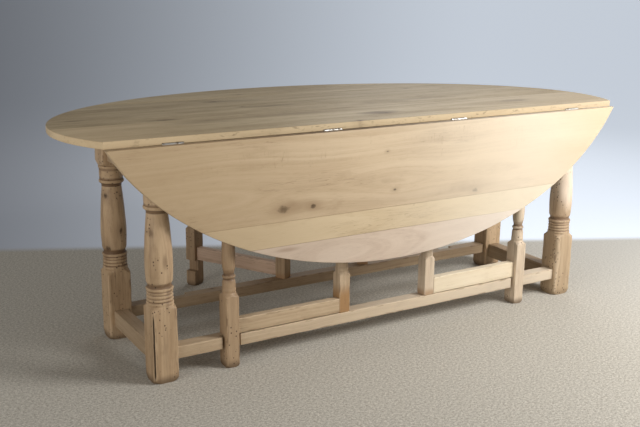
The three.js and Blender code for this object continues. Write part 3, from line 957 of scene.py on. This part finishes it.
# ---------- hinges ----------
def rounded_plate(length, low, high, thickness, corner=0.0028):
    """A flap's plate between two lines, with its two far corners rounded and its arrises eased."""
    half = length / 2
    outward = 1 if abs(high) > abs(low) else -1
    far, near = (high, low) if outward > 0 else (low, high)
    outline = [(-half, near), (half, near)] if outward > 0 else [(half, near), (-half, near)]
    for side in ((1, -1) if outward > 0 else (-1, 1)):
        for k in range(5):
            angle = math.radians(22.5 * k)
            across, up = math.cos(angle), math.sin(angle)
            if side != outward:
                across, up = up, across
            outline.append((side * (half - corner + corner * across), far - outward * (corner - corner * up)))
    ease = 0.0003
    rings = []
    for height, back in ((0.0, ease), (ease, 0.0), (thickness - ease, 0.0), (thickness, ease)):
        rings.append([(x, y, height) for x, y in drawn_in(outline, [back] * len(outline))])
    return skin(rings)


def screw_head(x, y, radius=0.0036, slot=0.0005, rise=0.0003, turn=0.4):
    """A slotted screw head that shows below the plate, as its two halves."""
    halves = []
    for side in (0, math.pi):
        start = math.asin(slot / radius)
        outline = []
        for k in range(13):
            angle = start + (math.pi - 2 * start) * k / 12
            outline.append((radius * math.cos(angle), radius * math.sin(angle)))
        rings = []
        for height, shrink in ((-rise, 0.90), (-rise * 0.5, 1.0), (0.0004, 1.0)):
            ring = []
            for u, v in outline:
                u, v = u * shrink, slot + (v - slot) * shrink
                angle = side + turn
                ring.append((x + u * math.cos(angle) - v * math.sin(angle),
                             y + u * math.sin(angle) + v * math.cos(angle), height))
            rings.append(ring)
        halves.append(skin(rings))
    return join_skins(*halves)


def hinge_flap(name, node, body, place, fixed, number):
    """One flap, with its knuckles on the X axis and its plate under the board."""
    outward = 1 if fixed else -1
    half, mid = FLAP["length"] / 2, FLAP["middle"] / 2
    gap = HINGE_ROOM
    near, far = outward * (FLAP["knuckle"] - 0.0006), outward * FLAP["width"]
    skins = [rounded_plate(FLAP["length"], min(near, far), max(near, far), FLAP["thickness"])]
    ends = [(-half, -mid - gap), (mid + gap, half)] if fixed else [(-mid, mid)]
    for low, high in ends:
        skins.append(rod_skin(FLAP["knuckle"], (low, high), "x", edge=0.0004, sides=28))
        wrap = sorted((outward * 0.001, outward * (FLAP["knuckle"] + 0.001)))
        skins.append(box_skin((low + 0.0002, high - 0.0002), wrap, (0.0001, FLAP["thickness"] - 0.0001)))
    if fixed:
        skins.append(rod_skin(FLAP["pin"], (-half - 0.0002, half + 0.0002), "x", edge=0.0004, sides=16))
    for k, (x, y) in enumerate(((-0.023, 0.013), (0.0, 0.025), (0.023, 0.013))):
        skins.append(screw_head(x, outward * y, turn=0.5 + 1.3 * k + number))
    points, faces = join_skins(*skins)
    return piece(name, points, faces, steel(f"{name}_steel", number), place, body, node)


for row in ("front", "rear"):
    fixed_place = Matrix.Translation(front_hinge) if row == "front" else leaf_places["rear"]
    for n, x in enumerate(HINGES):
        name = f"hinge_{row}_{n + 1}"
        along = Matrix.Translation((x, 0, 0))
        leaf_place = leaf_places[row] @ along
        hinge_flap(f"{name}_fixed", f"{name}_fixed_flap", "frame", fixed_place @ along, True, n + 0.3)
        hinge_flap(f"{name}_swinging", f"{name}_leaf_flap", f"{row}_leaf", leaf_place, False, n + 0.7)

# ---------- gates ----------
post_node, gate_leg_node = "gate_front_left_post", "gate_front_left_leg"
gate_leg_low, gate_leg_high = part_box(gate_leg_node)
gate_leg_half = (node_half(gate_leg_node, 0), node_half(gate_leg_node, 1))
gate_pivot = Vector(joint("gate_front_left_pivot")["pos_m"])
gate_reach = gate_pivot.x - (gate_leg_low.x + gate_leg_high.x) / 2
gate_forward = gate_pivot.y - (gate_leg_low.y + gate_leg_high.y) / 2
post_half = (node_half(post_node, 0), node_half(post_node, 1))
pin_low, pin_high = span(post_node, 2)
PIN = 0.024  # length of a post's pins
GATE_TENON, GATE_FIT = 0.018, 0.0003
post_low, post_high = pin_low + PIN, pin_high - PIN

GATE_FOOT = [(0, 29), (1.5, 31), (4, 32.8), (9, 34.5), (15, FULL)]
leg_outline = Turning(in_metres(GATE_FOOT + GATE_TURNING) + [(gate_leg_high.z, FULL * MM)], GATE_TURNED)
post_outline = Turning(
    [(pin_low, 0.008), (pin_low + 0.001, 0.009), (post_low, 0.009), (post_low + 0.0001, 0.027)]
    + [(post_low + 0.003, 0.040)] + in_metres(GATE_TURNING)
    + [(post_high - 0.003, 0.040), (post_high - 0.0001, 0.027), (post_high, 0.009)]
    + [(pin_high - 0.001, 0.009), (pin_high, 0.008)], GATE_TURNED
)
# from height, to height, and the plane that a gate leg is cut back to
LAP_TOP, LAP_LOW = (0.616, 0.80, 0.001), (0.060, 0.106, 0.007)


def lapped(at, u, v):
    """The gate leg, cut back where it laps over the apron and the stretcher."""
    for low, high, plane in (LAP_TOP, LAP_LOW):
        if low <= at <= high:
            v = min(v, plane)
    return u, v


def lap_stations(outline):
    """The leg's stations, with a pair of close ones at each shoulder of its laps."""
    places = outline.stations(0.008, 0.003)
    top = max(places)
    for low, high, _ in (LAP_TOP, LAP_LOW):
        for at in (low, high):
            if at < top:
                places += [at - LAP_EDGE, at + LAP_EDGE]
    return sorted(places)


HIGH_STAIN = (0.215, 0.055, (0.36, 0.19, 0.07), 0.85)
LOW_STAIN = (0.135, 0.025, (0.36, 0.19, 0.08), 0.6)
GATES = [
    # name, side its leg stands on, row, rail tones of the upper and lower rail
    ("gate_front_left", -1, -1, RAIL, RAIL),
    ("gate_front_right", 1, -1, RAIL, NEW_RAIL),
    ("gate_rear_left", 1, 1, RAIL, PINK_RAIL),
    ("gate_rear_right", -1, 1, RAIL, RAIL),
]
for number, (gate, side, row, upper_tones, lower_tones) in enumerate(GATES):
    pivot = joint(f"{gate}_pivot")
    opened = -math.radians(pivot["range_deg"][0]) if row > 0 else 0.0
    swing = (math.pi if row > 0 else 0.0) - side * opened
    hang = at_place(pivot["pos_m"][0], pivot["pos_m"][1], 0.0, swing)
    seed = 30 + 4 * number

    points, faces, measures = blank("z", lap_stations(leg_outline), *gate_leg_half, 0.0020, seed, leg_outline,
                                    clip=lapped, ripple=0.0003)
    # painted light: the front right gate's leg takes the lit copy of the gate tones
    tones = PAINTED_LIGHT_GATE if gate == "gate_front_right" else GATE
    finish = wood(f"{gate}_leg_oak", seed, tones, "z", pith=(0.04, 0.05), wander=0.03, figure=0.9, cloud=0.55,
                  holes=0.05, soil=0.8, streaks=0.42, foot=DARK_FOOT, smudges=[(0.30, 0.0, 0.03, 0.02, 0.5)])
    leg_place = hang @ at_place(side * gate_reach, -gate_forward)
    piece(f"{gate}_leg_turned", points, faces, finish, leg_place, gate, f"{gate}_leg",
          measures=measures)

    points, faces, measures = blank("z", post_outline.stations(0.008, 0.003), *post_half, 0.0020, seed + 1,
                                    post_outline, ripple=0.0003)
    stain = HIGH_STAIN if gate == "gate_front_left" else LOW_STAIN
    # painted light: the front right gate's post takes the lit copy of the gate tones
    post_tones = {"gate_front_left": POST, "gate_front_right": PAINTED_LIGHT_GATE}.get(gate, GATE)
    finish = wood(f"{gate}_post_oak", seed + 1, post_tones, "z", pith=(-0.05, 0.03), wander=0.03, figure=0.9,
                  cloud=0.5, soil=0.8, streaks=0.35, foot=stain)
    piece(f"{gate}_post_turned", points, faces, finish, hang, gate, f"{gate}_post",
          measures=measures)

    for level, tones, extra in (("upper", upper_tones, 2), ("lower", lower_tones, 3)):
        node = f"{gate}_{level}_rail"
        low_z, high_z = span(node, 2)
        low_y, high_y = (value - gate_pivot.y for value in span(f"gate_front_left_{level}_rail", 1))
        shoulders = (post_half[0] + GATE_FIT, gate_reach - gate_leg_half[0] - GATE_FIT)
        ends = shoulders if side > 0 else (-shoulders[1], -shoulders[0])
        tips = (ends[0] - GATE_TENON, ends[1] + GATE_TENON)
        half_v = (high_z - low_z) / 2
        tongue = (tips, (-0.005, 0.005), (-half_v + 0.009, half_v - 0.008))
        slot, cloud, arris = "rail_wood", 0.5, 0.0022
        if tones is NEW_RAIL:
            slot, cloud, arris = "new_rail_wood", 0.25, 0.0012
        finish = wood(f"{node}_oak", seed + extra, tones, wander=0.02, pith=(0.02, 0.06), figure=0.9,
                      cloud=cloud, soil=0.4)
        rail_place = hang @ at_place(0.0, (low_y + high_y) / 2, (low_z + high_z) / 2)
        bar(f"{node}_bar", node, gate, finish, rail_place, ends, (high_y - low_y) / 2, half_v,
            seed + extra, tongue, arris=arris)

# ---------- the room, the lights and the camera ----------
FLOOR_REACH = 150  # metres each way, so that its edge never shows
mesh = bpy.data.meshes.new("floor")
mesh.from_pydata([(x * FLOOR_REACH, y * FLOOR_REACH, 0) for x, y in ((-1, -1), (1, -1), (1, 1), (-1, 1))],
                 [], [(0, 1, 2, 3)])
floor = bpy.data.objects.new("floor", mesh)
bpy.context.scene.collection.objects.link(floor)
mesh.materials.append(floor_finish())


def soft_light(name, place, towards, size, power, colour):
    """A square soft light that faces a point."""
    lamp = bpy.data.lights.new(name, "AREA")
    lamp.shape = "SQUARE"
    lamp.size = size
    lamp.energy = power
    lamp.color = colour
    made = bpy.data.objects.new(name, lamp)
    bpy.context.scene.collection.objects.link(made)
    made.location = place
    made.rotation_euler = (Vector(towards) - Vector(place)).to_track_quat("-Z", "Y").to_euler()


soft_light("key_light", (1.58, -2.15, 1.75), (0.5, -0.3, 0.5), 1.1, 80, (1.0, 0.985, 0.965))
soft_light("fill_light", (-4.2, -1.7, 1.3), (-0.4, -0.2, 0.4), 2.0, 56, (1.0, 0.97, 0.93))
soft_light("top_light", (2.4, 2.1, 2.6), (0.3, 0.0, 0.7), 2.0, 29, (1.0, 0.99, 0.98))

world = bpy.data.worlds.new("studio")
bpy.context.scene.world = world
world.use_nodes = True
world.node_tree.nodes["Background"].inputs["Color"].default_value = (0.80, 0.79, 0.77, 1.0)
world.node_tree.nodes["Background"].inputs["Strength"].default_value = 0.25
bpy.context.scene.view_settings.view_transform = "Standard"

CAMERA_PLACE = (-1.7647, -2.8935, 1.2001)
yaw, pitch, roll = 0.5444, 0.2520, 0.0109  # radians: right of +Y, downwards, and its right side raised
forward = Vector((math.sin(yaw) * math.cos(pitch), math.cos(yaw) * math.cos(pitch), -math.sin(pitch)))
level = Vector((math.cos(yaw), -math.sin(yaw), 0.0))
upward = level.cross(forward)
right = level * math.cos(roll) + upward * math.sin(roll)
up = upward * math.cos(roll) - level * math.sin(roll)
lens = bpy.data.cameras.new("camera")
lens.lens = 51.266
lens.sensor_width = 36.0
camera = bpy.data.objects.new("camera", lens)
bpy.context.scene.collection.objects.link(camera)
facing = Matrix((right, up, -forward)).transposed().to_4x4()
camera.matrix_world = Matrix.Translation(CAMERA_PLACE) @ facing
bpy.context.scene.camera = camera
